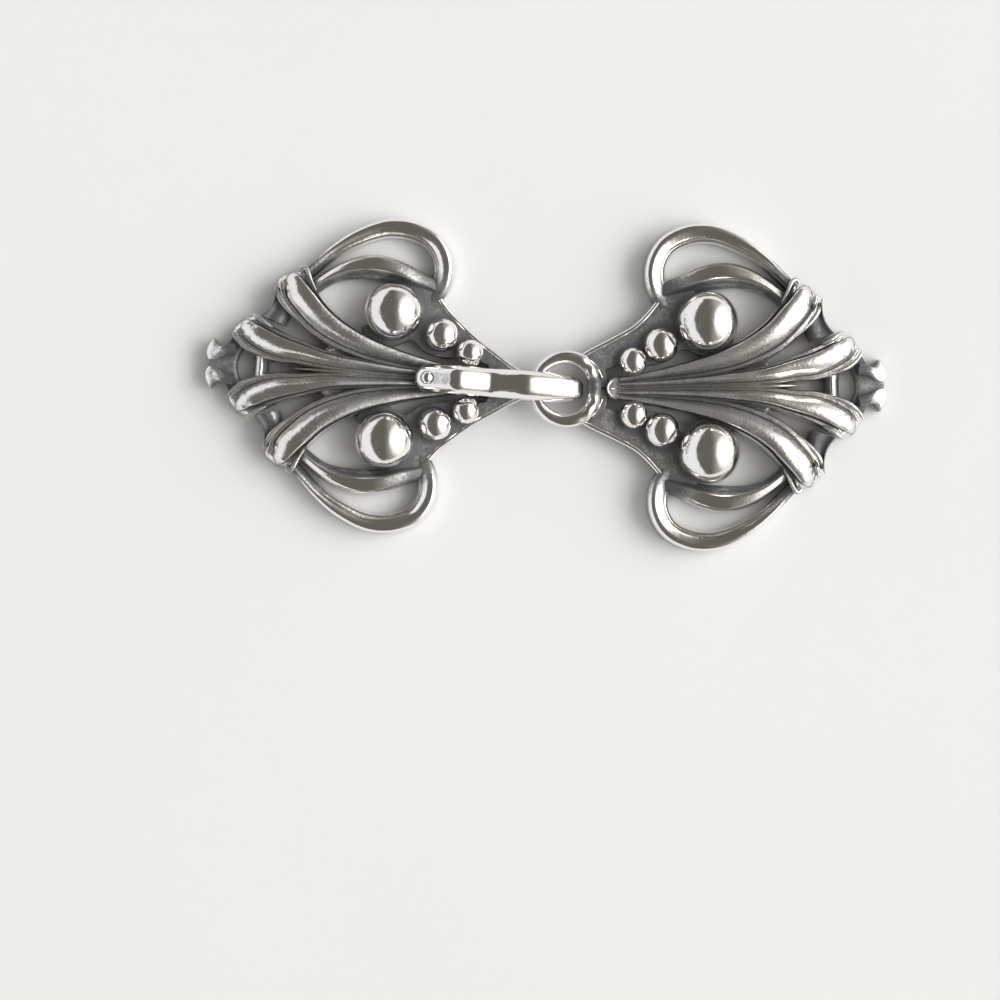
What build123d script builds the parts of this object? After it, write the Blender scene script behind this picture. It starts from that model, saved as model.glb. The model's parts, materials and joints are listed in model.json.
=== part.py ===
from build123d import *
from collections import namedtuple
import os

# A cast silver hook and eye clasp, fastened and lying on its flat back, in millimetres.
# Each half is drawn outwards from the middle of the eye's ring: reach runs along the half,
# side runs across it, and z is the height above the table.

# Ring and hook
RING_RADIUS = 1.565
RING_WIRE = 0.65
RING_HEIGHT = 1.42
STRAP_WIDTH = 1.42
STRAP_THICKNESS = 0.75
STRAP_ROUNDING = 0.30
NECK_HEIGHT = 0.475
NECK_ROOT = 4.45
BEND_CENTRE = 0.44
BEND_RADIUS = 1.04
BEND_END_ANGLE = 100.0
TONGUE = ((1.75, 2.68), (3.60, 2.38), (5.20, 2.56), (6.85, 2.42))
TONGUE_END_DIRECTION = (1.0, -0.08)
TIP_BALL = (6.98, 2.40, 0.61)

# The two halves: how far out each casting starts, how wide it is, and how it is turned
HOOK_START = 2.08
HOOK_SPREAD = 0.96
HOOK_TURN = 175.0

# Heights of the cast parts
WEB_HEIGHT = 1.00
FAN_HEIGHT = 0.80
LEAF_UNDERSIDE = 0.12
LOOP_UNDERSIDE = 0.05
SCROLL_UNDERSIDE = 0.09
BEAK_UNDERSIDE = 0.03
BAR_LOW = 0.10
BAR_HIGH = 1.05
COLLAR_HEIGHT = 1.30
RIB_WIDTH = 0.24

# Collar that joins the ring to its casting
COLLAR_INNER = 1.50
COLLAR_OUTER = 1.98
COLLAR_SPAN = 116.0

Section = namedtuple("Section", "reach side half_width heading edge crown")
Bead = namedtuple("Bead", "reach side radius height")

# Sections of the two leaves on one side, from the head of the fan to the rolled tip
OUTER_LEAF = (
    Section(2.60, 0.40, 0.14, 6, 0.92, 1.02),
    Section(4.70, 0.62, 0.20, 9, 0.98, 1.12),
    Section(6.90, 1.08, 0.34, 17, 1.25, 1.46),
    Section(9.00, 1.82, 0.56, 28, 1.58, 1.92),
    Section(10.70, 3.02, 0.74, 43, 1.86, 2.28),
    Section(11.72, 4.45, 0.88, 55, 1.90, 2.42),
    Section(12.12, 5.12, 0.62, 60, 1.15, 1.48),
)
INNER_LEAF = (
    Section(2.50, 0.19, 0.04, 0, 0.96, 0.98),
    Section(4.70, 0.25, 0.09, 2, 1.08, 1.15),
    Section(6.90, 0.39, 0.20, 5, 1.32, 1.48),
    Section(9.00, 0.60, 0.38, 9, 1.66, 1.90),
    Section(11.00, 0.92, 0.62, 15, 1.92, 2.30),
    Section(12.75, 1.45, 0.82, 23, 1.98, 2.46),
    Section(13.90, 1.98, 0.93, 29, 1.80, 2.32),
    Section(14.42, 2.22, 0.60, 31, 1.10, 1.42),
)
LEAF_RIB_SHARE = 0.15
LEAF_RIB_RISE = 0.10

# Sections of the open side loop, of the broad scroll inside it and of the beak at the outer end
LOOP = (
    Section(4.75, 4.45, 0.45, 118, 0.80, 1.20),
    Section(4.42, 5.20, 0.50, 98, 0.85, 1.30),
    Section(4.45, 6.05, 0.50, 80, 0.85, 1.30),
    Section(4.95, 6.98, 0.49, 52, 0.85, 1.30),
    Section(5.90, 7.50, 0.48, 18, 0.85, 1.30),
    Section(7.15, 7.60, 0.46, -5, 0.85, 1.30),
    Section(8.70, 7.03, 0.40, -27, 0.85, 1.30),
    Section(9.95, 6.15, 0.30, -40, 0.88, 1.25),
    Section(10.65, 5.45, 0.27, -46, 0.90, 1.22),
    Section(11.35, 4.75, 0.25, -48, 0.90, 1.20),
)
SCROLL = (
    Section(4.95, 4.86, 0.34, 22, 0.80, 1.15),
    Section(5.75, 5.05, 0.42, 22, 0.82, 1.35),
    Section(6.70, 5.40, 0.56, 16, 0.84, 1.60),
    Section(7.70, 5.53, 0.66, 1, 0.84, 1.70),
    Section(8.80, 5.40, 0.54, -20, 0.84, 1.60),
    Section(9.80, 4.98, 0.37, -33, 0.84, 1.45),
    Section(10.60, 4.40, 0.31, -42, 0.84, 1.35),
    Section(11.15, 3.90, 0.28, -42, 0.84, 1.25),
)
BEAK = (
    Section(14.50, 0.42, 0.34, 0, 0.90, 1.35),
    Section(15.10, 0.44, 0.38, 14, 0.95, 1.55),
    Section(15.46, 0.72, 0.32, 65, 0.90, 1.50),
    Section(15.50, 1.27, 0.10, 96, 0.80, 1.00),
)

EYE_BEADS = (
    Bead(6.95, 3.23, 1.52, 1.40),
    Bead(4.66, 2.11, 0.87, 1.20),
    Bead(3.27, 1.33, 0.71, 1.15),
)
HOOK_BEADS = (
    Bead(6.72, 3.30, 1.45, 1.40),
    Bead(4.29, 2.29, 0.85, 1.20),
    Bead(2.84, 1.46, 0.70, 1.15),
)

# Outlines, each a row of (reach, side) points on one side of the half
EYE_WEB_OUTER = ((0.80, 1.50), (0.98, 1.81), (2.32, 2.49), (3.44, 3.17), (4.26, 4.01), (4.51, 4.33))
EYE_WEB_START = ((1.60, 0.75), (1.35, 0.80))
HOOK_WEB_OUTER = ((0.64, 0.99), (1.24, 1.41), (2.24, 2.08), (3.24, 2.92), (4.02, 3.65), (4.42, 4.17))
HOOK_WEB_START = ((1.75, 0.60), (0.64, 0.45))
WEB_ROOTS = ((4.80, 5.05), (6.30, 4.95), (7.00, 3.20), (8.30, 2.40), (7.70, 1.20))
WEB_SLOT_EDGE = ((6.65, 1.55), (5.75, 1.90), (5.06, 1.36), (4.26, 1.17), (2.50, 1.18), (1.90, 0.95))
FAN = (
    (1.70, 0.42), (2.80, 0.46), (4.70, 0.68), (6.90, 1.20), (9.30, 2.10), (9.95, 1.42), (10.30, 1.10),
    (11.30, 0.62), (11.08, 0.10),
)
MIDDLE_RIB = ((1.76, 0.15), (1.76, 0.90), (6.00, 1.28), (11.15, 1.62), (11.15, 0.15))
SIDE_BAR = ((11.80, 2.05), (11.70, 3.05), (12.45, 3.65), (12.80, 3.05), (13.55, 2.70), (13.00, 1.90))
END_BARS = (
    ((12.77, 0.75), (13.47, 0.75)),
    ((14.27, 1.50), (14.60, 1.50), (15.10, 0.85)),
)


def spread_out(points, start, spread):
    """Moves outline points out to where a half starts, and narrows them to its width."""
    return [(start + reach, spread * side) for reach, side in points]


def closed_face(curved, straight):
    """A face between one smooth edge and the straight runs that close it."""
    edge = Spline(*curved)
    runs = Polyline(curved[-1], *straight, curved[0])
    return make_face([edge, runs])


def web(outer, start_edge, start, spread):
    """The flat plate that carries the beads and joins the loop to the fan."""
    curved = spread_out(outer, start, spread)
    straight = spread_out(WEB_ROOTS + WEB_SLOT_EDGE + start_edge, start, spread)
    return extrude(closed_face(curved, straight), amount=WEB_HEIGHT)


def section_plane(row, start, spread):
    """The upright plane of a cross-section, with x across the form and y up."""
    across = Vector(0, 1, 0).rotate(Axis.Z, row.heading)
    along = Vector(1, 0, 0).rotate(Axis.Z, row.heading)
    return Plane(origin=(start + row.reach, spread * row.side, 0), x_dir=across, z_dir=along)


def ridge_section(row, underside, start, spread):
    """One cross-section of a loop, scroll or beak: upright sides under a round back."""
    half = row.half_width
    outline = [
        Line((-half, underside), (-half, row.edge)),
        ThreePointArc((-half, row.edge), (0, row.crown), (half, row.edge)),
        Line((half, row.edge), (half, underside)),
        Line((half, underside), (-half, underside)),
    ]
    return section_plane(row, start, spread) * make_face(outline)


def ridge(rows, underside, start, spread):
    """A curved, round-backed rib lofted through its sections."""
    return loft([ridge_section(row, underside, start, spread) for row in rows])


def leaf_section(row, start, spread):
    """One cross-section of a leaf: a crowned lobe between two low ribs."""
    half = row.half_width
    inner = half * (1 - 2 * LEAF_RIB_SHARE)
    rib_middle = (half + inner) / 2
    rib_top = row.edge + LEAF_RIB_RISE * half
    outline = [
        Line((-half, LEAF_UNDERSIDE), (-half, row.edge)),
        ThreePointArc((-half, row.edge), (-rib_middle, rib_top), (-inner, row.edge)),
        ThreePointArc((-inner, row.edge), (0, row.crown), (inner, row.edge)),
        ThreePointArc((inner, row.edge), (rib_middle, rib_top), (half, row.edge)),
        Line((half, row.edge), (half, LEAF_UNDERSIDE)),
        Line((half, LEAF_UNDERSIDE), (-half, LEAF_UNDERSIDE)),
    ]
    return section_plane(row, start, spread) * make_face(outline)


def leaf(rows, start, spread):
    """A fluted leaf, built straight from section to section between the fan's head and its rolled tip."""
    return loft([leaf_section(row, start, spread) for row in rows], ruled=True)


def bead(row, start, spread):
    """A round bead, cut flat where it would pass below the back."""
    place = Pos(start + row.reach, spread * row.side, row.height)
    ball = place * Sphere(row.radius)
    below = Pos(start + row.reach, spread * row.side, -row.radius) * Box(
        4 * row.radius, 4 * row.radius, 2 * row.radius
    )
    return ball - below if row.radius > row.height else ball


def side_parts(outer, start_edge, beads, start, spread):
    """Everything on one side of a half."""
    parts = [
        web(outer, start_edge, start, spread),
        ridge(LOOP, LOOP_UNDERSIDE, start, spread),
        ridge(SCROLL, SCROLL_UNDERSIDE, start, spread),
        ridge(BEAK, BEAK_UNDERSIDE, start, spread),
        extrude(make_face(Polyline(*spread_out(SIDE_BAR, start, spread), close=True)), amount=BAR_HIGH),
    ]
    parts += [leaf(rows, start, spread) for rows in (OUTER_LEAF, INNER_LEAF)]
    parts += [bead(row, start, spread) for row in beads]
    return parts


def across_middle(points, start, spread):
    """A face that runs across the middle of the half, from points on one side of it."""
    upper = spread_out(points, start, spread)
    lower = [(reach, -side) for reach, side in reversed(upper)]
    return make_face(Polyline(*upper, *lower, close=True))


def middle_parts(start, spread):
    """The fan's base, its middle rib and the bars across the outer end."""
    parts = [extrude(across_middle(FAN, start, spread), amount=FAN_HEIGHT)]
    rib_outline = [(start + reach, height) for reach, height in MIDDLE_RIB]
    rib_side = Plane.XZ * make_face(Polyline(*rib_outline, close=True))
    parts.append(extrude(rib_side, amount=RIB_WIDTH / 2, both=True))
    for bar in END_BARS:
        parts.append(Pos(0, 0, BAR_LOW) * extrude(across_middle(bar, start, spread), amount=BAR_HIGH - BAR_LOW))
    return parts


def plate(outer, start_edge, beads, start, spread):
    """The whole casting of one half, without its ring or hook."""
    one_side = side_parts(outer, start_edge, beads, start, spread)
    other_side = [mirror(piece, about=Plane.XZ) for piece in one_side]
    return one_side + other_side + middle_parts(start, spread)


def ring():
    """The eye's ring and the collar behind it."""
    wire = Pos(0, 0, RING_HEIGHT) * Torus(RING_RADIUS, RING_WIRE / 2)
    disc = Cylinder(COLLAR_OUTER, COLLAR_HEIGHT, arc_size=COLLAR_SPAN, align=(Align.NONE, Align.NONE, Align.MIN))
    core = Cylinder(COLLAR_INNER, 3 * COLLAR_HEIGHT)
    collar = Rot(0, 0, -COLLAR_SPAN / 2) * disc - core
    return [wire, collar]


def strap():
    """The hook's strap: a neck under the ring's bar, a bend, and the tongue back over it."""
    bend_middle = NECK_HEIGHT + BEND_RADIUS
    profile_plane = Plane.XZ
    neck = Line((NECK_ROOT, NECK_HEIGHT), (BEND_CENTRE, NECK_HEIGHT))
    sweep_angle = -(270.0 - BEND_END_ANGLE)
    bend = CenterArc((BEND_CENTRE, bend_middle), BEND_RADIUS, 270.0, sweep_angle)
    tongue = Spline(bend @ 1, *TONGUE, tangents=(bend % 1, TONGUE_END_DIRECTION))
    path = profile_plane * Wire([neck, bend, tongue])
    section = Plane(origin=path @ 0, x_dir=(0, 1, 0), z_dir=path % 0) * RectangleRounded(
        STRAP_WIDTH, STRAP_THICKNESS, STRAP_ROUNDING
    )
    tip_reach, tip_height, tip_radius = TIP_BALL
    return [sweep(section, path=path), Pos(tip_reach, 0, tip_height) * Sphere(tip_radius)]


def joined(parts):
    """One solid of all the parts of a casting."""
    whole = Part() + parts
    assert len(whole.solids()) == 1, f"{len(whole.solids())} solids"
    return whole


def main():
    eye_half = joined(ring() + plate(EYE_WEB_OUTER, EYE_WEB_START, EYE_BEADS, 0.0, 1.0))
    hook_parts = strap() + plate(HOOK_WEB_OUTER, HOOK_WEB_START, HOOK_BEADS, HOOK_START, HOOK_SPREAD)
    hook_half = Rot(0, 0, HOOK_TURN) * joined(hook_parts)
    middle = Compound([eye_half, hook_half]).bounding_box().center()
    to_origin = Pos(-middle.X, -middle.Y, 0)
    print("ring centre", -middle.X, -middle.Y)
    os.makedirs("parts", exist_ok=True)
    for name, piece in (("eye_half", eye_half), ("hook_half", hook_half)):
        placed = to_origin * piece
        placed.label = name
        export_step(placed, f"parts/{name}.step")
        box = placed.bounding_box()
        print(name, box.min, box.max, round(placed.volume, 2))


if __name__ == "__main__":
    main()
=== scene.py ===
from collections import namedtuple
from math import cos, pi, radians, sin
import json

import bmesh
import bpy
import numpy as np
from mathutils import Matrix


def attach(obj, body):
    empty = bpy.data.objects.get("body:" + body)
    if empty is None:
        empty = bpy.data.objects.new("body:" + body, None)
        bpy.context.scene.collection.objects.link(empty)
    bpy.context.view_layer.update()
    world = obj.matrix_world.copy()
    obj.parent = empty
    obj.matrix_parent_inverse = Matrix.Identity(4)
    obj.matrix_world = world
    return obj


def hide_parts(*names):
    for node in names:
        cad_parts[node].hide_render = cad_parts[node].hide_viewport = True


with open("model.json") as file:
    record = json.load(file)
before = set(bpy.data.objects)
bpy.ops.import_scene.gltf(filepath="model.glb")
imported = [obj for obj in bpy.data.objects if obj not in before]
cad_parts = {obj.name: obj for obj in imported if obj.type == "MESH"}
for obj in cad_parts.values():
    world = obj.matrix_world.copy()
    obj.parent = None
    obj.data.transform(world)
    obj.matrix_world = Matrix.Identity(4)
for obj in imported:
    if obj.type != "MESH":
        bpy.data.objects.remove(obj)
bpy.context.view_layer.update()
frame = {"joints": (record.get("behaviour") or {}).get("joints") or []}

# A fastened hook and eye clasp in antiqued silver, seen from straight above.
# Tables are in millimetres, drawn outwards from the middle of the eye's ring:
# reach runs along a half, side runs across it, and height is above the table.
MM = 0.001

# The ring's wire is given by half of its thickness, and the hinge is in its left bar
HINGE = frame["joints"][0]
RING_RADIUS = 1.565
RING_WIRE = 0.325
RING_HEIGHT = 1.42
RING_CENTRE = np.array([HINGE["pos_m"][0] / MM + RING_RADIUS, HINGE["pos_m"][1] / MM, 0.0])

# Where each half starts, how much of the drawn width it has and how far it is turned
Half = namedtuple("Half", "name body start spread turn")
EYE = Half("eye", "eye_half", 0.0, 1.0, 0.0)
HOOK = Half("hook", "hook_half", 2.08, 0.96, radians(175))


# Node trees


class Shade:
    """A socket of a node tree. Arithmetic on it adds Math nodes."""

    def __init__(self, tree, socket):
        self.tree = tree
        self.socket = socket

    def math(self, operation, first, second):
        settings = {"operation": operation}
        return add_node(self.tree, "ShaderNodeMath", settings, {0: first, 1: second})

    def __add__(self, other):
        return self.math("ADD", self, other)

    def __sub__(self, other):
        return self.math("SUBTRACT", self, other)

    def __rsub__(self, other):
        return self.math("SUBTRACT", other, self)

    def __mul__(self, other):
        return self.math("MULTIPLY", self, other)

    def __truediv__(self, other):
        return self.math("DIVIDE", self, other)

    __radd__ = __add__
    __rmul__ = __mul__

    def ramp(self, low, high):
        """0 below low, 1 above high, and smooth between them."""
        settings = {"interpolation_type": "SMOOTHSTEP"}
        limits = {"Value": self, "From Min": low, "From Max": high}
        return add_node(self.tree, "ShaderNodeMapRange", settings, limits)


def add_node(tree, kind, settings=None, inputs=None, output=0):
    """Adds a node, sets it up, fills or links its sockets, and returns one of its outputs."""
    node = tree.nodes.new(kind)
    for name, value in (settings or {}).items():
        setattr(node, name, value)
    for name, value in (inputs or {}).items():
        if isinstance(value, Shade):
            tree.links.new(value.socket, node.inputs[name])
        else:
            node.inputs[name].default_value = value
    return Shade(tree, node.outputs[output]) if node.outputs else None


def noise(tree, place, scale):
    """Soft mottling between 0 and 1, about 0.5 on average."""
    sockets = {"Vector": place, "Scale": scale, "Detail": NOISE_DETAIL}
    return add_node(tree, "ShaderNodeTexNoise", None, sockets)


def openness(tree, reach):
    """0 in a deep recess and 1 where nothing is near within the reach."""
    settings = {"samples": OPENNESS_SAMPLES}
    return add_node(tree, "ShaderNodeAmbientOcclusion", settings, {"Distance": reach}, output="AO")


def mix_colour(tree, factor, first, second):
    """A blend of two colours. The numbers are the Mix node's colour sockets."""
    sockets = {0: factor, 6: first, 7: second}
    return add_node(tree, "ShaderNodeMix", {"data_type": "RGBA"}, sockets, output=2)


NOISE_DETAIL = 3.0
OPENNESS_SAMPLES = 8

# Sizes of the silver's mottling, as noise scales to a metre
PATCH_SCALE = 1100.0
GRAIN_SCALE = 7000.0
WARMTH_SCALE = 350.0

HOLLOW_REACH = 0.4 * MM
PIT_DEPTH = 0.03 * MM
SILVER = (0.95, 0.935, 0.91, 1.0)
WARM_SILVER = (0.90, 0.84, 0.76, 1.0)
# The colour of oxide, which also serves for the painted shade down some sides of forms
OXIDE_AND_SHADE = (0.17, 0.178, 0.178, 1.0)


def silver(name, oxide_base, oxide_gain, roughness, pits):
    """Polished silver that darkens in its recesses, with fine pits and rubbing marks."""
    material = bpy.data.materials.new(name)
    material.use_nodes = True
    tree = material.node_tree
    tree.nodes.clear()
    place = add_node(tree, "ShaderNodeTexCoord", output="Object")
    hollow = 1.0 - openness(tree, HOLLOW_REACH)
    # The darkening held on the mesh is oxide, and on some sides of forms painted shade
    painted = add_node(tree, "ShaderNodeAttribute", {"attribute_name": "darkening"}, output="Fac")
    patches = noise(tree, place, PATCH_SCALE)
    grain = noise(tree, place, GRAIN_SCALE)
    depth = hollow * oxide_gain + painted + oxide_base + (patches - 0.5) * 0.6 + (grain - 0.5) * 0.5
    darkening = depth.ramp(0.25, 1.05)
    warmth = noise(tree, place, WARMTH_SCALE).ramp(0.45, 0.75)
    clean = mix_colour(tree, warmth * 0.6, SILVER, WARM_SILVER)
    colour = mix_colour(tree, darkening, clean, OXIDE_AND_SHADE)
    rubbed = roughness + darkening * 0.40 + (patches - 0.5) * 0.12 + (grain - 0.5) * 0.10
    height = grain * (pits + darkening) * 0.6 + patches * (0.8 + pits)
    bump = {"Strength": 0.5, "Distance": PIT_DEPTH, "Height": height}
    normal = add_node(tree, "ShaderNodeBump", None, bump)
    metal = 1.0 - darkening * 0.3
    look = {"Base Color": colour, "Metallic": metal, "Roughness": rubbed, "Normal": normal}
    surface = add_node(tree, "ShaderNodeBsdfPrincipled", None, look)
    add_node(tree, "ShaderNodeOutputMaterial", None, {"Surface": surface})
    return material


# One silver in four states of wear, from wires and beads to leaves, webs and the hook's strap
POLISHED = silver("polished_silver", oxide_base=0.05, oxide_gain=0.75, roughness=0.11, pits=0.6)
RUBBED = silver("rubbed_silver", oxide_base=0.26, oxide_gain=0.60, roughness=0.20, pits=1.0)
ANTIQUED = silver("antiqued_silver", oxide_base=0.88, oxide_gain=1.0, roughness=0.26, pits=1.6)
BRIGHT = silver("bright_silver", oxide_base=-0.2, oxide_gain=0.4, roughness=0.12, pits=0.3)


# Placing and building pieces


def placed(half, points, mirrored):
    """Turns casting points (reach, side, height) in millimetres into the frame, in metres."""
    points = np.array(points, float)
    reach = points[..., 0] + half.start
    side = points[..., 1] * half.spread * (-1 if mirrored else 1)
    turned = np.stack(
        [
            reach * cos(half.turn) - side * sin(half.turn),
            reach * sin(half.turn) + side * cos(half.turn),
            points[..., 2],
        ],
        axis=-1,
    )
    return (turned + RING_CENTRE) * MM


def piece(name, half, vertices, faces, material, darkening=None, mirrored=False, crease=50.0):
    """A finished mesh object that rides on its half and stands for its casting."""
    if mirrored:
        faces = [face[::-1] for face in faces]
    points = [tuple(vertex) for vertex in vertices]
    mesh = bpy.data.meshes.new(name)
    mesh.from_pydata(points, [], [tuple(int(i) for i in face) for face in faces])
    mesh.update()
    mesh.polygons.foreach_set("use_smooth", [True] * len(mesh.polygons))
    mesh.set_sharp_from_angle(angle=radians(crease))
    layer = mesh.attributes.new("darkening", "FLOAT", "POINT")
    shade = np.zeros(len(points)) if darkening is None else darkening
    layer.data.foreach_set("value", shade.astype(np.float32))
    mesh.materials.append(material)
    thing = bpy.data.objects.new(name, mesh)
    bpy.context.scene.collection.objects.link(thing)
    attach(thing, half.body)
    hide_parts(half.body)


def grid_faces(rows, columns, first=0, around=False):
    """Quads of a grid of points, closed across its columns if it goes around."""
    faces = []
    for i in range(rows - 1):
        for j in range(columns if around else columns - 1):
            k = (j + 1) % columns
            a = first + i * columns
            faces.append((a + j, a + k, a + columns + k, a + columns + j))
    return faces


WALL_OXIDE = 0.4


def relief(name, half, top, underside, material, darkening=None, mirrored=False, crease=50.0):
    """A solid with a modelled top (rows, columns, 3), upright walls and a flat underside."""
    rows, columns, _ = top.shape
    bottom = top.copy()
    bottom[..., 2] = underside
    count = rows * columns
    upper = [face[::-1] for face in grid_faces(rows, columns)]
    lower = grid_faces(rows, columns, first=count)
    rim = list(range(columns))
    rim += [i * columns + columns - 1 for i in range(1, rows)]
    rim += [(rows - 1) * columns + j for j in range(columns - 2, -1, -1)]
    rim += [i * columns for i in range(rows - 2, 0, -1)]
    wall = [(a, b, b + count, a + count) for a, b in zip(rim, rim[1:] + rim[:1])]
    points = np.concatenate([top.reshape(-1, 3), bottom.reshape(-1, 3)])
    if darkening is not None:
        darkening = np.concatenate([darkening.reshape(-1), np.full(count, WALL_OXIDE)])
    vertices = placed(half, points, mirrored)
    piece(name, half, vertices, upper + lower + wall, material, darkening, mirrored, crease)


PROFILE_STEPS = 240
COLUMNS = 33


def along(rows, count):
    """A smooth run through table rows, spaced by the length of their first two columns."""
    rows = np.array(rows, float)
    steps = np.r_[0, np.cumsum(np.linalg.norm(np.diff(rows[:, :2], axis=0), axis=1))]
    slopes = np.gradient(rows, steps, axis=0)
    where = np.linspace(0, 1, count) * steps[-1]
    i = np.clip(np.searchsorted(steps, where, side="right") - 1, 0, len(rows) - 2)
    h = (steps[i + 1] - steps[i])[:, None]
    u = ((where - steps[i]) / h[:, 0])[:, None]
    start = rows[i] * (1 + 2 * u) * (1 - u) ** 2 + slopes[i] * h * u * (1 - u) ** 2
    end = rows[i + 1] * u**2 * (3 - 2 * u) + slopes[i + 1] * h * u**2 * (u - 1)
    return start + end


def directions(path):
    """Unit vectors along a path and across it, to its left, in plan."""
    run = np.gradient(path[:, :2], axis=0)
    run /= np.linalg.norm(run, axis=1)[:, None]
    return run, np.stack([-run[:, 1], run[:, 0]], axis=1)


def places_across(columns):
    """Places across a form from -1 to 1, closer together near its edges."""
    return np.sin(np.linspace(-pi / 2, pi / 2, columns))


def full_turn(count):
    """Evenly spaced angles all the way round."""
    return [2 * pi * k / count for k in range(count)]


def profile_lift(profile, places):
    """Height shares of a cross-section, given as (place, share) points, at the places."""
    curve = along(profile, PROFILE_STEPS)
    return np.interp(places, curve[:, 0], curve[:, 1])


def ridge_top(rows, profile, count=90, columns=COLUMNS):
    """The top of a loop, scroll or bar, with one profile all along its rows."""
    path = along(rows, count)
    _, across = directions(path)
    t = places_across(columns)
    half_width, edge, crown = path[:, 2:3], path[:, 3:4], path[:, 4:5]
    top = np.empty((count, columns, 3))
    top[..., :2] = path[:, None, :2] + across[:, None, :] * (half_width * t)[..., None]
    top[..., 2] = edge + (crown - edge) * profile_lift(profile, t)
    return top


def edge_to_edge_top(rows, profile, count=50):
    """The top of a form drawn between its two edges."""
    path = along(rows, count)
    t = places_across(COLUMNS)
    share = ((t + 1) / 2)[None, :, None]
    top = np.empty((count, COLUMNS, 3))
    top[..., :2] = path[:, None, 0:2] * (1 - share) + path[:, None, 2:4] * share
    top[..., 2] = path[:, 4:5] + (path[:, 5:6] - path[:, 4:5]) * profile_lift(profile, t)
    return top


# Where the darkening of a side, partly oxide and partly painted shade, starts across a form, how
# wide it fades, and how far a root's oxide goes
SIDE_START = 0.15
SIDE_FADE = 0.3
ROOT_REACH = 1.5


def oxide_and_side_shade(top, inner=0.0, outer=0.0, first_root=(0.0, 1.0), last_root=(0.0, 1.0)):
    """Oxide at the roots of a form, and darkening down its sides that is partly oxide and partly
    painted shade.

    Each root has its amount and the share of the length that it fades over.
    """
    count, columns, _ = top.shape
    t = places_across(columns)[None, :]
    s = np.linspace(0, 1, count)[:, None]
    inner_side = np.clip((-SIDE_START - t) / SIDE_FADE, 0, 1)
    outer_side = np.clip((t - SIDE_START) / SIDE_FADE, 0, 1)
    side_oxide_and_shade = inner * inner_side + outer * outer_side
    roots = first_root[0] * np.clip(ROOT_REACH - s / first_root[1], 0, 1)
    roots = roots + last_root[0] * np.clip(ROOT_REACH - (1 - s) / last_root[1], 0, 1)
    return side_oxide_and_shade + roots


def tube(name, half, frames, section, material, darkening=None, closed=False, mirrored=False):
    """A section swept along frames of centre, side and up, with caps if its ends are open."""
    centres, sides, ups = (part[:, None, :] for part in frames)
    section = np.array(section, float)
    rows, columns = len(centres), len(section)
    points = centres + sides * section[None, :, 0:1] + ups * section[None, :, 1:2]
    faces = grid_faces(rows, columns, around=True)
    last = (rows - 1) * columns
    if closed:
        for j in range(columns):
            k = (j + 1) % columns
            faces.append((last + j, last + k, k, j))
    else:
        faces.append(tuple(range(columns))[::-1])
        faces.append(tuple(last + j for j in range(columns)))
    shade = None if darkening is None else np.repeat(darkening, columns)
    vertices = placed(half, points.reshape(-1, 3), mirrored)
    piece(name, half, vertices, faces, material, shade, mirrored)


def prism(name, half, outline, plate, material, mirrored=False):
    """A plate cut to an outline, with its upper edges rounded over."""
    low, high, rounding = plate
    form = bmesh.new()
    corners = [form.verts.new((x, y, low)) for x, y in outline]
    floor = form.faces.new(corners)
    raised = bmesh.ops.extrude_face_region(form, geom=[floor])["geom"]
    for part in raised:
        if isinstance(part, bmesh.types.BMVert):
            part.co.z = high
    lid = next(part for part in raised if isinstance(part, bmesh.types.BMFace))
    rim = list(lid.edges)
    bmesh.ops.bevel(form, geom=rim, offset=rounding, segments=4, profile=0.5, affect="EDGES")
    bmesh.ops.recalc_face_normals(form, faces=form.faces[:])
    form.verts.index_update()
    points = [tuple(vertex.co) for vertex in form.verts]
    faces = [tuple(vertex.index for vertex in face.verts) for face in form.faces]
    form.free()
    piece(name, half, placed(half, points, mirrored), faces, material, None, mirrored, crease=40.0)


# The forms of a casting


# Heights of the flat undersides
LOOP_BASE = 0.05
SCROLL_BASE = 0.09
BEAK_BASE = 0.03
BEAD_BASE = 0.04
BAR_BASE = 0.10
LEAF_BASE = 0.12
RIB_BASE = 0.15
LIP_BASE = 0.30
FLAT_BACK = 0.0

# Flat plates: heights of the underside and the top, and the rounding of the upper edge
WEB_PLATE = (0.0, 1.0, 0.10)
END_BAR_PLATE = (0.1, 1.05, 0.14)

# Rows of leaves, loops, scrolls, ribs and bars: reach, side, half width, edge and crown heights
OUTER_LEAF = (
    (2.60, 0.38, 0.15, 0.98, 1.08),
    (4.70, 0.66, 0.29, 1.04, 1.34),
    (6.90, 1.05, 0.50, 1.26, 1.76),
    (8.04, 1.36, 0.62, 1.37, 1.95),
    (8.95, 1.72, 0.70, 1.42, 2.06),
    (9.75, 2.14, 0.78, 1.45, 2.13),
    (10.45, 2.64, 0.84, 1.44, 2.14),
    (11.03, 3.24, 0.87, 1.38, 2.08),
    (11.58, 3.89, 0.84, 1.28, 1.93),
    (11.86, 4.58, 0.74, 1.14, 1.72),
)
INNER_LEAF = (
    (2.50, 0.19, 0.10, 1.00, 1.12),
    (4.70, 0.22, 0.18, 1.10, 1.42),
    (6.90, 0.31, 0.27, 1.31, 1.83),
    (8.04, 0.39, 0.34, 1.43, 2.01),
    (9.20, 0.47, 0.42, 1.50, 2.13),
    (10.30, 0.63, 0.52, 1.51, 2.17),
    (10.95, 0.78, 0.60, 1.49, 2.14),
    (12.48, 1.12, 0.82, 1.37, 2.00),
    (13.17, 1.42, 0.84, 1.27, 1.86),
    (13.70, 1.76, 0.80, 1.16, 1.70),
    (13.92, 2.04, 0.74, 1.08, 1.60),
)
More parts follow.
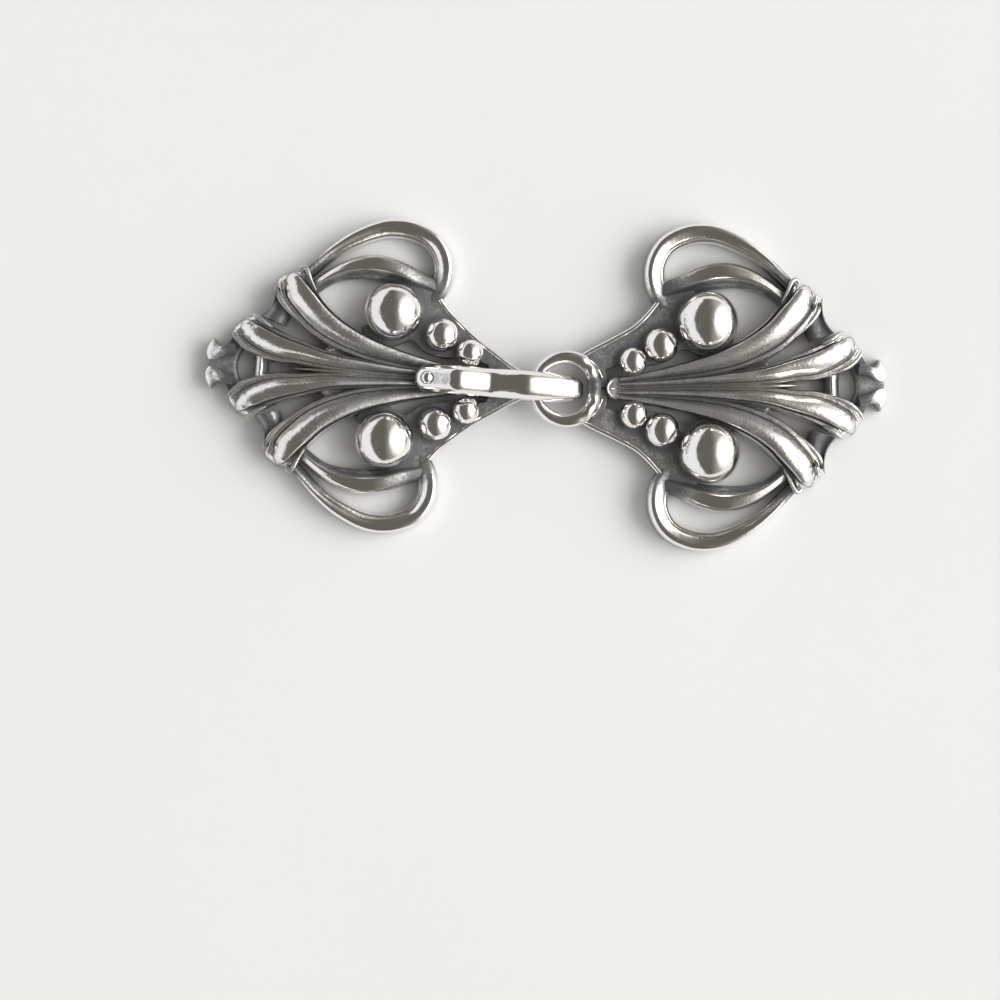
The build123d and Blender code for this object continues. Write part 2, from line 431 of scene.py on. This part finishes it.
LOOP = (
    (5.35, 3.90, 0.40, 0.80, 0.92),
    (4.85, 4.30, 0.46, 0.80, 1.06),
    (4.46, 5.10, 0.50, 0.80, 1.28),
    (4.45, 6.05, 0.50, 0.80, 1.30),
    (4.95, 6.98, 0.49, 0.80, 1.30),
    (5.90, 7.50, 0.48, 0.80, 1.30),
    (7.15, 7.60, 0.46, 0.80, 1.30),
    (8.70, 7.03, 0.40, 0.80, 1.30),
    (9.95, 6.15, 0.30, 0.80, 1.25),
    (10.65, 5.45, 0.27, 0.80, 1.22),
    (11.35, 4.75, 0.25, 0.80, 1.20),
)
SCROLL = (
    (4.45, 4.50, 0.30, 0.80, 1.00),
    (5.05, 4.78, 0.46, 0.80, 1.16),
    (5.75, 5.02, 0.52, 0.82, 1.38),
    (6.70, 5.38, 0.60, 0.84, 1.55),
    (7.70, 5.53, 0.66, 0.84, 1.60),
    (8.80, 5.40, 0.54, 0.84, 1.58),
    (9.80, 4.98, 0.37, 0.84, 1.50),
    (10.60, 4.40, 0.31, 0.84, 1.40),
    (11.15, 3.90, 0.28, 0.84, 1.30),
)

# Rows of beaks and side bars: reach and side of two edges, then edge and crown heights
BEAK = (
    (14.36, 0.49, 14.40, 1.06, 0.92, 1.66),
    (14.91, 0.40, 14.75, 1.02, 0.88, 1.52),
    (15.33, 0.19, 15.04, 0.90, 0.84, 1.36),
    (15.63, 0.14, 15.22, 0.90, 0.76, 1.24),
    (15.81, 0.42, 15.34, 0.98, 0.72, 1.18),
    (15.77, 0.85, 15.42, 1.12, 0.70, 1.14),
    (15.53, 1.27, 15.48, 1.29, 0.66, 1.04),
)

# Beads: reach, side, radius and height of the middle
EYE_BEADS = ((6.95, 3.23, 1.52, 1.40), (4.66, 2.11, 0.87, 1.20), (3.27, 1.33, 0.71, 1.15))
HOOK_BEADS = ((6.72, 3.30, 1.45, 1.40), (4.29, 2.29, 0.85, 1.20), (2.84, 1.46, 0.70, 1.15))

# Outlines in plan: the web's outer edge, its ends under the fan and its slot beside the fan
EYE_WEB = (
    (0.72, 1.68), (1.02, 1.86), (2.32, 2.52), (3.44, 3.17), (4.26, 4.01), (4.51, 4.33),
)
HOOK_WEB = (
    (0.05, 0.66), (0.64, 0.99), (1.24, 1.41), (2.24, 2.08), (3.24, 2.92), (4.02, 3.65),
    (4.42, 4.17),
)
EYE_WEB_START = ((2.00, 0.50), (2.05, 0.0), (1.45, 0.0), (1.30, 0.80))
HOOK_WEB_START = ((1.75, 0.60), (0.64, 0.45), (0.05, 0.42))
WEB_ROOTS = ((4.80, 5.05), (6.30, 4.95), (7.00, 3.20), (8.30, 2.40), (7.70, 1.20))
WEB_SLOT = ((6.65, 1.55), (5.75, 1.90), (5.06, 1.36), (4.26, 1.17), (2.50, 1.18), (1.90, 0.95))

# The fan: reach, side, half width and height
FAN = (
    (1.90, 0.0, 0.10, 0.80),
    (1.96, 0.0, 0.30, 0.98),
    (2.10, 0.0, 0.44, 1.02),
    (2.80, 0.0, 0.50, 0.98),
    (4.70, 0.0, 0.74, 0.95),
    (6.90, 0.0, 1.25, 1.00),
    (8.60, 0.0, 1.70, 1.05),
    (9.40, 0.0, 1.55, 1.10),
    (9.95, 0.0, 1.20, 1.20),
    (10.25, 0.0, 0.70, 1.20),
    (10.95, 0.0, 0.05, 1.20),
)

# The rib down the middle of the fan and the bars beyond it, in rows like those above
MIDDLE_RIB = (
    (2.20, 0.0, 0.07, 0.80, 1.10),
    (4.70, 0.0, 0.08, 0.90, 1.22),
    (6.90, 0.0, 0.09, 1.10, 1.50),
    (9.20, 0.0, 0.10, 1.30, 1.80),
    (10.60, 0.0, 0.08, 1.40, 1.90),
    (11.40, 0.0, 0.03, 1.40, 1.70),
)
SIDE_BAR = (
    (12.05, 3.95, 12.62, 4.10, 0.60, 1.60),
    (11.86, 3.35, 12.72, 3.50, 0.60, 1.44),
    (11.84, 2.80, 12.90, 3.06, 0.60, 1.38),
    (12.05, 2.20, 13.25, 2.60, 0.60, 1.50),
)
CROSS_BAR = (
    (13.12, -0.95, 0.40, 0.80, 1.30),
    (13.10, -0.40, 0.35, 0.80, 1.15),
    (13.10, 0.40, 0.35, 0.80, 1.15),
    (13.12, 0.95, 0.40, 0.80, 1.30),
)

# The outline of the bar at the outer end
END_BAR = (
    (13.95, 1.30), (14.60, 1.40), (15.05, 0.75), (15.60, 0.40), (15.68, 0.0), (15.60, -0.40),
    (15.05, -0.75), (14.60, -1.40), (13.95, -1.30), (14.00, -0.95), (14.17, -0.62),
    (14.28, -0.30), (14.31, 0.0), (14.28, 0.30), (14.17, 0.62), (14.00, 0.95),
)

# Cross-sections: place across from -1 on the axis side to 1, and share of the full height
ROUND = (
    (-1.0, 0.0), (-0.92, 0.42), (-0.7, 0.72), (-0.35, 0.94), (0.0, 1.0), (0.35, 0.94),
    (0.7, 0.72), (0.92, 0.42), (1.0, 0.0),
)
LOOP_PROFILE = (
    (-1.0, 0.0), (-0.97, 0.2), (-0.88, 0.38), (-0.78, 0.36), (-0.55, 0.56), (-0.25, 0.78),
    (0.05, 0.93), (0.32, 1.0), (0.58, 0.96), (0.8, 0.8), (0.94, 0.5), (1.0, 0.0),
)
SCROLL_PROFILE = (
    (-1.0, 0.0), (-0.9, 0.14), (-0.6, 0.38), (-0.34, 0.82), (-0.22, 0.98), (-0.1, 1.0),
    (0.3, 0.9), (0.7, 0.72), (0.93, 0.45), (1.0, 0.0),
)
BEAK_PROFILE = (
    (-1.0, 0.0), (-0.97, 0.30), (-0.88, 0.50), (-0.6, 0.62), (0.0, 0.80), (0.5, 0.93),
    (0.8, 1.0), (0.93, 0.84), (1.0, 0.0),
)
SADDLE = (
    (-1.0, 0.0), (-0.95, 0.35), (-0.8, 0.66), (-0.5, 0.86), (-0.1, 0.84), (0.3, 0.76),
    (0.6, 0.8), (0.8, 1.0), (0.94, 0.7), (1.0, 0.0),
)
SOFT = ((-1.0, 0.0), (-0.7, 0.5), (0.0, 1.0), (0.7, 0.5), (1.0, 0.0))
LOBE_PROFILE = (
    (-1.0, 0.0), (-0.95, 0.13), (-0.8, 0.32), (-0.5, 0.60), (-0.2, 0.82), (0.1, 0.95),
    (0.4, 1.0), (0.7, 0.99), (0.88, 0.94), (0.96, 0.8), (1.0, 0.4),
)

# Ribs of a leaf: place across it, width and height, as shares of its half width
OUTER_LEAF_RIBS = ((0.93, 0.05, 0.20), (-0.64, 0.03, 0.10), (-0.84, 0.10, 0.27))
INNER_LEAF_RIBS = ((0.93, 0.05, 0.22), (0.76, 0.04, 0.12), (-0.66, 0.03, 0.10), (-0.85, 0.10, 0.27))

# Each leaf's lobe: middle and half width, as shares of the leaf's half width
LEAVES = (
    ("outer", OUTER_LEAF, OUTER_LEAF_RIBS, (0.13, 0.70)),
    ("inner", INNER_LEAF, INNER_LEAF_RIBS, (0.03, 0.62)),
)

# Thorns and lips where the ribs end: rows of reach, side, height and thickness
THORNS = (
    (
        (11.30, 2.44, 1.52, 0.06), (11.90, 3.00, 1.50, 0.12), (12.32, 3.50, 1.44, 0.14),
        (12.54, 3.95, 1.36, 0.09), (12.66, 4.34, 1.26, 0.02),
    ),
    (
        (10.62, 4.10, 1.50, 0.05), (10.95, 4.72, 1.46, 0.09), (11.10, 5.06, 1.42, 0.11),
        (11.25, 5.24, 1.36, 0.12), (11.40, 5.20, 1.32, 0.11), (11.50, 5.00, 1.30, 0.06),
    ),
    (
        (12.60, 2.00, 1.50, 0.06), (13.05, 2.27, 1.46, 0.13), (13.30, 2.44, 1.40, 0.14),
        (13.50, 2.58, 1.32, 0.09), (13.66, 2.69, 1.24, 0.02),
    ),
    (
        (13.10, 0.60, 1.50, 0.06), (13.72, 0.84, 1.44, 0.12), (14.16, 1.12, 1.36, 0.14),
        (14.44, 1.42, 1.28, 0.09), (14.62, 1.74, 1.20, 0.02),
    ),
)

# How finely a leaf is drawn, and how much of its columns' spacing is even
LEAF_STEPS = 120
ROLL_STEPS = 24
LEAF_COLUMNS = 81
EVEN_SHARE = 0.65

# How a leaf's end rolls over, and the lowest height that it reaches
ROLL_LENGTH = 0.34
ROLL_DROP = 1.10
ROLL_BULGE = 0.10
ROLL_PINCH = 0.8
LEAF_FLOOR = 0.4

# The leaf's sheet: its share of the height, and the middle and half width of its arch
SHEET_SHARE = 0.2
ARCH_MIDDLE = 0.4
ARCH_HALF = 1.4
EDGE_DEPTH = 0.12
EDGE_START = 0.93
EDGE_WIDTH = 0.07

# The lobe: where it ends on the roll, the length of its round tip and how the tip sinks
LOBE_OVER_ROLL = 0.85
LOBE_TIP = 1.5
TIP_SINKING = 0.7
NEARLY_ZERO = 1e-6

# The groove round the lobe, shallower at its tip
GROOVE_PLACE = 1.04
GROOVE_WIDTH = 0.05
GROOVE_DEPTH = 0.05
GROOVE_FADE = 0.5

# Oxide in the groove, none on the ribs, and a dull root that ends and fades along the leaf
GROOVE_OXIDE = 0.75
RIB_RUBBING = 0.8
ROOT_OXIDE = 0.45
ROOT_END = 8.8
ROOT_FADE = 4.0
ROLL_OXIDE = 0.2
THORN_OXIDE = 0.35
FAN_OXIDE = 0.2


def leaf(name, half, rows, ribs, lobe, mirrored):
    """A crowned lobe with a round tip, between thin ribs on a sheet that rolls down at its end."""
    path = along(rows, LEAF_STEPS)
    run, _ = directions(path)
    roll_angle = np.linspace(0, pi / 2, ROLL_STEPS + 1)[1:]
    ahead = np.r_[np.zeros(LEAF_STEPS), np.sin(roll_angle)][:, None]
    fall = np.r_[np.zeros(LEAF_STEPS), (1 - np.cos(roll_angle)) * ROLL_DROP][:, None]
    path = np.concatenate([path, np.repeat(path[-1:], ROLL_STEPS, axis=0)])
    run = np.concatenate([run, np.repeat(run[-1:], ROLL_STEPS, axis=0)])
    across = np.stack([-run[:, 1], run[:, 0]], axis=1)
    even = np.linspace(-1, 1, LEAF_COLUMNS)
    t = (places_across(LEAF_COLUMNS) * (1 - EVEN_SHARE) + even * EVEN_SHARE)[None, :]
    half_width, edge, crown = path[:, 2:3], path[:, 3:4], path[:, 4:5]
    distance = np.r_[0, np.cumsum(np.linalg.norm(np.diff(path[:, :2], axis=0), axis=1))][:, None]
    distance = distance + ahead * ROLL_LENGTH

    # The lobe narrows to a round tip before the roll is over, with a groove all round it
    lobe_middle, lobe_half = lobe
    lobe_end = distance[LEAF_STEPS - 1, 0] + LOBE_OVER_ROLL * ROLL_LENGTH
    lobe_round = LOBE_TIP * half_width[LEAF_STEPS - 1, 0]
    past = np.clip((distance - (lobe_end - lobe_round)) / lobe_round, 0, 1)
    narrowing = np.sqrt(1 - past**2) + NEARLY_ZERO
    from_middle = (t - lobe_middle) / lobe_half
    across_lobe = from_middle / narrowing
    swell = profile_lift(LOBE_PROFILE, np.clip(across_lobe, -1, 1))
    swell = swell * (np.abs(across_lobe) < 1) * narrowing**TIP_SINKING
    from_groove = (np.hypot(from_middle, past) - GROOVE_PLACE) / GROOVE_WIDTH
    groove = np.exp(-(from_groove**2)) * (1 - GROOVE_FADE * past)
    arch = SHEET_SHARE * (1 - ((t - ARCH_MIDDLE) / ARCH_HALF) ** 2)
    lift = (crown - edge) * (arch + (1 - SHEET_SHARE) * swell)
    lift = lift - GROOVE_DEPTH * half_width * groove

    # Oxide stays in the groove and is rubbed off the ribs
    darkening = GROOVE_OXIDE * groove
    for place, width, height in ribs:
        line = np.exp(-(((t - place) / width) ** 2))
        lift = lift + height * half_width * line * (1 - ahead)
        darkening = darkening - RIB_RUBBING * line
    at_edge = np.clip((np.abs(t) - EDGE_START) / EDGE_WIDTH, 0, 1)
    edge_round = EDGE_DEPTH * half_width * at_edge**2
    top = np.empty((len(path), LEAF_COLUMNS, 3))
    top[..., 2] = np.maximum(edge + lift - edge_round - fall, LEAF_FLOOR)
    forward = (ahead * (ROLL_LENGTH + ROLL_BULGE * (1 - t**2)))[..., None]
    pinched = (half_width * t * np.sqrt(1 - ROLL_PINCH * ahead**2))[..., None]
    top[..., :2] = path[:, None, :2] + across[:, None, :] * pinched + run[:, None, :] * forward
    dull = ROOT_OXIDE * np.clip((ROOT_END - distance) / ROOT_FADE, 0, 1) + ROLL_OXIDE * ahead
    relief(name, half, top, LEAF_BASE, RUBBED, darkening + dull, mirrored, crease=60.0)


def thorns(name, half, mirrored):
    """The small pointed ends of the ribs, round in section."""
    vertices, faces = [], []
    rows_each, turns = 16, 12
    for rows in THORNS:
        path = along(rows, rows_each)
        _, across = directions(path)
        first = len(vertices)
        for (reach, side, height, thick), (left, up) in zip(path, across):
            for b in full_turn(turns):
                x = reach + left * thick * cos(b)
                y = side + up * thick * cos(b)
                vertices.append((x, y, height + thick * sin(b)))
        faces += grid_faces(rows_each, turns, first, around=True)
        last = first + (rows_each - 1) * turns
        faces.append(tuple(first + k for k in range(turns))[::-1])
        faces.append(tuple(last + k for k in range(turns)))
    shade = np.full(len(vertices), THORN_OXIDE)
    piece(name, half, placed(half, vertices, mirrored), faces, RUBBED, shade, mirrored)


def beads(name, half, rows, mirrored=False):
    """Balls in one piece, each cut off just above the flat back if it would reach below that."""
    vertices, faces = [], []
    rings, turns = 39, 56
    for reach, side, radius, height in rows:
        low = -np.arcsin(min(1.0, (height - BEAD_BASE) / radius))
        first = len(vertices)
        for a in np.linspace(low, pi / 2, rings + 1)[:-1]:
            for b in full_turn(turns):
                flat = radius * cos(a)
                x = reach + flat * cos(b)
                y = side + flat * sin(b) / half.spread
                vertices.append((x, y, height + radius * sin(a)))
        faces += grid_faces(rings, turns, first, around=True)
        crown = len(vertices)
        vertices.append((reach, side, height + radius))
        last = first + (rings - 1) * turns
        faces += [(last + k, last + (k + 1) % turns, crown) for k in range(turns)]
        faces.append(tuple(first + k for k in range(turns))[::-1])
    piece(name, half, placed(half, vertices, mirrored), faces, POLISHED, None, mirrored)


def fan(name, half):
    """The fluted base that the leaves grow from."""
    rows, columns, flutes, flute_depth = 160, 121, 15, 0.015
    path = along(FAN, rows)
    t = np.linspace(-1, 1, columns)
    top = np.empty((rows, columns, 3))
    top[..., 0] = path[:, 0:1]
    top[..., 1] = path[:, 2:3] * t
    round_edge = 0.18 * np.clip((np.abs(t) - 0.85) / 0.15, 0, 1) ** 2
    wave = flute_depth * np.cos(t * pi * flutes)
    top[..., 2] = path[:, 3:4] + wave - round_edge
    relief(name, half, top, FLAT_BACK, RUBBED, np.full((rows, columns), FAN_OXIDE))


UPWARDS = (0.0, 0.0, 1.0)


def oval(half_width, half_height, count):
    """A section with its points evenly round."""
    return [(half_width * cos(a), half_height * sin(a)) for a in full_turn(count)]


def web_rim(name, half, curve, mirrored):
    """The thin bright edge along the outside of the web."""
    count, inset, height = 60, 0.10, 0.93
    path = along(curve, count)
    _, across = directions(path)
    centres = np.column_stack([path - across * inset, np.full(count, height)])
    sides = np.column_stack([across, np.zeros(count)])
    ups = np.tile(UPWARDS, (count, 1))
    frames = (centres, sides, ups)
    tube(name, half, frames, oval(0.13, 0.15, 16), POLISHED, mirrored=mirrored)


SIDES = ((False, "left"), (True, "right"))


def casting(half, web_curve, web_start, bead_rows):
    """Everything that one half has besides its ring or hook."""
    for mirrored, word in SIDES:
        curve = [tuple(point) for point in along(web_curve, 40)]
        slot_edge = [tuple(point) for point in along(WEB_SLOT, 40)]
        outline = curve + list(WEB_ROOTS) + slot_edge + list(web_start)
        prism(f"{half.name}_web_{word}", half, outline, WEB_PLATE, ANTIQUED, mirrored)
        web_rim(f"{half.name}_web_rim_{word}", half, web_curve, mirrored)
        top = ridge_top(LOOP, LOOP_PROFILE, count=120)
        darkening = oxide_and_side_shade(top, inner=0.25, first_root=(0.9, 0.14), last_root=(0.8, 0.15))
        relief(f"{half.name}_loop_{word}", half, top, LOOP_BASE, POLISHED, darkening, mirrored)
        top = ridge_top(SCROLL, SCROLL_PROFILE)
        darkening = oxide_and_side_shade(top, inner=0.8, first_root=(1.0, 0.26), last_root=(0.8, 0.15))
        relief(f"{half.name}_scroll_{word}", half, top, SCROLL_BASE, POLISHED, darkening, mirrored)
        top = edge_to_edge_top(BEAK, BEAK_PROFILE)
        # The beak's outer side is darker with painted shade, and its root with oxide
        darkening = oxide_and_side_shade(top, outer=0.3, first_root=(0.85, 0.3))
        relief(f"{half.name}_beak_{word}", half, top, BEAK_BASE, RUBBED, darkening, mirrored)
        top = edge_to_edge_top(SIDE_BAR, SADDLE)
        relief(f"{half.name}_side_bar_{word}", half, top, BAR_BASE, ANTIQUED, None, mirrored)
        for place, rows, ribs, lobe in LEAVES:
            leaf(f"{half.name}_{place}_leaf_{word}", half, rows, ribs, lobe, mirrored)
        thorns(f"{half.name}_thorns_{word}", half, mirrored)
        beads(f"{half.name}_beads_{word}", half, bead_rows, mirrored)
    fan(f"{half.name}_fan", half)
    top = ridge_top(MIDDLE_RIB, ROUND, count=80, columns=13)
    relief(f"{half.name}_middle_rib", half, top, RIB_BASE, BRIGHT)
    top = ridge_top(CROSS_BAR, SOFT, count=24)
    # Painted shade down the side of the cross bar that faces the ring
    relief(f"{half.name}_cross_bar", half, top, BAR_BASE, RUBBED, oxide_and_side_shade(top, outer=0.8))
    prism(f"{half.name}_end_bar", half, END_BAR, END_BAR_PLATE, ANTIQUED)


def ring():
    """The eye's ring, drawn in and uneven where it meets the web, with oxide in that corner."""
    steps, drawn_in, ripple, ripples = 128, 0.22, 0.05, 13
    turns = np.array(full_turn(steps))
    radius = RING_RADIUS - drawn_in * np.clip(np.cos(turns), 0, 1) ** 3
    toward_web = (turns + pi) % (2 * pi) - pi
    wobble = ripple * np.sin(ripples * toward_web) * np.exp(-((toward_web / 0.9) ** 2))
    height = RING_HEIGHT + wobble
    centres = np.column_stack([radius * np.cos(turns), radius * np.sin(turns), height])
    sides = np.column_stack([np.cos(turns), np.sin(turns), np.zeros(steps)])
    frames = (centres, sides, np.tile(UPWARDS, (steps, 1)))
    crack = 1.5 * np.exp(-(((toward_web - 0.1) / 0.4) ** 2))
    tube("eye_ring", EYE, frames, oval(RING_WIRE, RING_WIRE, 32), POLISHED, crack, closed=True)


def collar():
    """The two short rippled ridges between the ring and its web."""
    radius, half_width, edge, crown, ripple, ripples = 1.80, 0.14, 0.85, 1.50, 0.06, 15
    rows = []
    for a in np.linspace(radians(17), radians(50), 30):
        height = crown + ripple * sin(ripples * a)
        rows.append((radius * cos(a), radius * sin(a), half_width, edge, height))
    top = ridge_top(rows, ROUND, count=40, columns=17)
    for mirrored, word in SIDES:
        relief(f"eye_collar_{word}", EYE, top, FLAT_BACK, POLISHED, None, mirrored)


def fan_lip(half):
    """The rounded lip that the fan starts with, half of an oval in plan."""
    middle, length, width = 2.55, 0.55, 0.50
    half_width, edge, crown = 0.12, 0.85, 1.30
    rows = []
    for a in np.linspace(radians(100), radians(260), 40):
        rows.append((middle + length * cos(a), width * sin(a), half_width, edge, crown))
    top = ridge_top(rows, ROUND, count=40, columns=17)
    relief(f"{half.name}_fan_lip", half, top, LIP_BASE, POLISHED)


# The strap's path, as reach and height from the middle of the ring, and half of its section
NECK = ((4.45, 0.475), (2.6, 0.475), (1.2, 0.475))
BEND_CENTRE = (0.26, 1.15)
BEND_RADIUS = 0.68
BEND_START = -90
BEND_END = 56
TONGUE = (
    (0.20, 1.88), (0.60, 2.06), (1.00, 2.22), (1.40, 2.36), (1.75, 2.47), (2.00, 2.52),
    (2.25, 2.51), (2.60, 2.41), (3.00, 2.27), (3.40, 2.13), (3.65, 2.07), (3.85, 2.08),
    (4.10, 2.15), (4.60, 2.36), (5.05, 2.56), (5.30, 2.65), (5.40, 2.665), (5.50, 2.645),
    (5.70, 2.55), (6.10, 2.35), (6.60, 2.10), (7.50, 1.67),
)
STRAP_SECTION = (
    (0.0, 0.375), (0.34, 0.365), (0.46, 0.31), (0.58, 0.16), (0.68, -0.02), (0.71, -0.16),
    (0.64, -0.31), (0.45, -0.375), (0.0, -0.375),
)
TIP_BEAD = (6.90, 0.0, 0.33, 2.40)

# Where the strap closes at its tip, narrows towards the bend and is pitted, by reach
TIP_START = 6.85
TIP_LENGTH = 0.66
TIP_CLOSED = 0.995
BEND_NARROWING = 0.2
NARROWING_START = 0.7
NARROWING_LENGTH = 1.5
PITTED_PLACE = 6.0
PITTED_LENGTH = 0.25
PITTED_OXIDE = 0.45


def strap():
    """The hook: a neck under the ring, a bend, and the tongue back over it to a ball tip."""
    steps = 200
    turn = np.radians(np.linspace(BEND_START, BEND_END, 14))
    middle, height = BEND_CENTRE
    bend = [(middle - BEND_RADIUS * cos(a), height + BEND_RADIUS * sin(a)) for a in turn]
    path = along(list(NECK) + bend + list(TONGUE), steps)
    _, across = directions(path)
    reach = path[:, 0]
    level = np.zeros(steps)
    centres = np.column_stack([reach, level, path[:, 1]])
    rounding = np.sqrt(1 - np.clip((reach - TIP_START) / TIP_LENGTH, 0, TIP_CLOSED) ** 2)[:, None]
    past_bend = np.clip((NARROWING_START - reach[:, None]) / NARROWING_LENGTH, 0, 1)
    tapering = 1 - BEND_NARROWING * past_bend
    ups = np.column_stack([across[:, 0], level, across[:, 1]]) * rounding
    sides = np.tile((0.0, 1.0, 0.0), (steps, 1)) * rounding * tapering
    pitted = PITTED_OXIDE * np.exp(-(((reach - PITTED_PLACE) / PITTED_LENGTH) ** 2))
    edge = along(STRAP_SECTION, 26)
    section = np.concatenate([edge[:-1], edge[:0:-1] * (-1, 1)])
    from_ring = HOOK._replace(start=0.0, spread=1.0)
    tube("hook_strap", from_ring, (centres, sides, ups), section, BRIGHT, pitted)
    beads("hook_tip", from_ring, (TIP_BEAD,))


casting(EYE, EYE_WEB, EYE_WEB_START, EYE_BEADS)
casting(HOOK, HOOK_WEB, HOOK_WEB_START, HOOK_BEADS)
ring()
collar()
fan_lip(EYE)
fan_lip(HOOK)
strap()


# Table, light and camera

TABLE_REACH = 1.0
TABLE_GAP = 0.02 * MM
SHADE_REACH = 2.0 * MM
STAIN_SCALE = 40.0
PALE = (0.83, 0.83, 0.825, 1.0)
PALER = (0.86, 0.86, 0.855, 1.0)
SHADED = (0.40, 0.39, 0.34, 1.0)


def table_top():
    """A pale table just under the clasp, with painted shade, darker and browner, where the silver
    is near.
    """
    form = bmesh.new()
    bmesh.ops.create_grid(form, x_segments=8, y_segments=8, size=TABLE_REACH)
    mesh = bpy.data.meshes.new("table_top")
    form.to_mesh(mesh)
    form.free()
    material = bpy.data.materials.new("pale_table")
    material.use_nodes = True
    tree = material.node_tree
    tree.nodes.clear()
    place = add_node(tree, "ShaderNodeTexCoord", output="Object")
    pale = mix_colour(tree, noise(tree, place, STAIN_SCALE), PALE, PALER)
    tone = mix_colour(tree, openness(tree, SHADE_REACH).ramp(0.0, 0.3), SHADED, pale)
    look = {"Base Color": tone, "Roughness": 0.8}
    surface = add_node(tree, "ShaderNodeBsdfPrincipled", None, look)
    add_node(tree, "ShaderNodeOutputMaterial", None, {"Surface": surface})
    mesh.materials.append(material)
    table = bpy.data.objects.new("table_top", mesh)
    table.location.z = -TABLE_GAP
    bpy.context.scene.collection.objects.link(table)


# Colours of what is round the clasp
DIM_CEILING = (0.125, 0.12, 0.105, 1.0)
PALE_CEILING = (0.42, 0.41, 0.38, 1.0)
WHITE_WALL = (0.86, 0.87, 0.90, 1.0)
SOFT_GLOW = (1.15, 1.13, 1.10, 1.0)
LAMP_CORE = (5.5, 5.5, 5.5, 1.0)
BACKDROP = (0.84, 0.84, 0.83, 1.0)


def oval_patch(x, y, middle, length, width, low, high):
    """1 in an oval patch of the ceiling and 0 outside it. Length and width are squared halves."""
    return 1.0 - ((x - middle) * (x - middle) / length + y * y / width).ramp(low, high)


def studio():
    """A dim ceiling, a broad soft light on the right and a white wall low on the left."""
    world = bpy.data.worlds.new("studio")
    bpy.context.scene.world = world
    world.use_nodes = True
    tree = world.node_tree
    tree.nodes.clear()
    way = add_node(tree, "ShaderNodeTexCoord", output="Generated")
    lifted = {0: way, 1: UPWARDS}
    raised = add_node(tree, "ShaderNodeVectorMath", {"operation": "ADD"}, lifted)
    facing = add_node(tree, "ShaderNodeVectorMath", {"operation": "NORMALIZE"}, {0: raised})
    x = add_node(tree, "ShaderNodeSeparateXYZ", None, {0: facing}, output="X")
    y = add_node(tree, "ShaderNodeSeparateXYZ", None, {0: facing}, output="Y")
    clouds = noise(tree, facing, 3.0) - 0.5
    brighter = x.ramp(0.0, 0.34) + clouds * 0.5
    ceiling = mix_colour(tree, brighter, DIM_CEILING, PALE_CEILING)
    wall = mix_colour(tree, (y * y * 0.7 - x).ramp(0.42, 0.48), ceiling, WHITE_WALL)
    glow = oval_patch(x, y, middle=0.48, length=0.09, width=0.32, low=0.45, high=1.3)
    lit = mix_colour(tree, glow, wall, SOFT_GLOW)
    core = oval_patch(x, y, middle=0.42, length=0.022, width=0.08, low=0.2, high=1.6)
    lamp = mix_colour(tree, core, lit, LAMP_CORE)
    seen = add_node(tree, "ShaderNodeLightPath", output="Is Camera Ray")
    shown = mix_colour(tree, seen, lamp, BACKDROP)
    light = add_node(tree, "ShaderNodeBackground", None, {"Color": shown, "Strength": 1.0})
    add_node(tree, "ShaderNodeOutputWorld", None, {"Surface": light})


def soft_lamp(name, size, energy, place):
    """A wide soft light in metres and watts, over the table and not seen in the silver."""
    panel = bpy.data.lights.new(name, "AREA")
    panel.shape = "DISK"
    panel.size = size
    panel.energy = energy
    lamp = bpy.data.objects.new(name, panel)
    lamp.location = place
    lamp.visible_glossy = False
    lamp.visible_camera = False
    bpy.context.scene.collection.objects.link(lamp)


CAMERA_PLACE = (-2.34 * MM, -5.65 * MM, 138.2 * MM)
CAMERA_ROLL = radians(-0.75)


def camera():
    """Straight above the table, a little rolled."""
    lens = bpy.data.cameras.new("camera")
    lens.lens = 100.0
    lens.sensor_width = 36.0
    lens.clip_start = 0.005
    lens.clip_end = 10.0
    seat = bpy.data.objects.new("camera", lens)
    seat.location = CAMERA_PLACE
    seat.rotation_euler = (0.0, 0.0, CAMERA_ROLL)
    bpy.context.scene.collection.objects.link(seat)
    bpy.context.scene.camera = seat


table_top()
studio()
soft_lamp("overhead", size=1.0, energy=0.36, place=(0.0, 0.0, 0.3))
soft_lamp("from_the_right", size=0.24, energy=0.055, place=(0.12, 0.0, 0.2))
camera()
bpy.context.scene.view_settings.view_transform = "Standard"
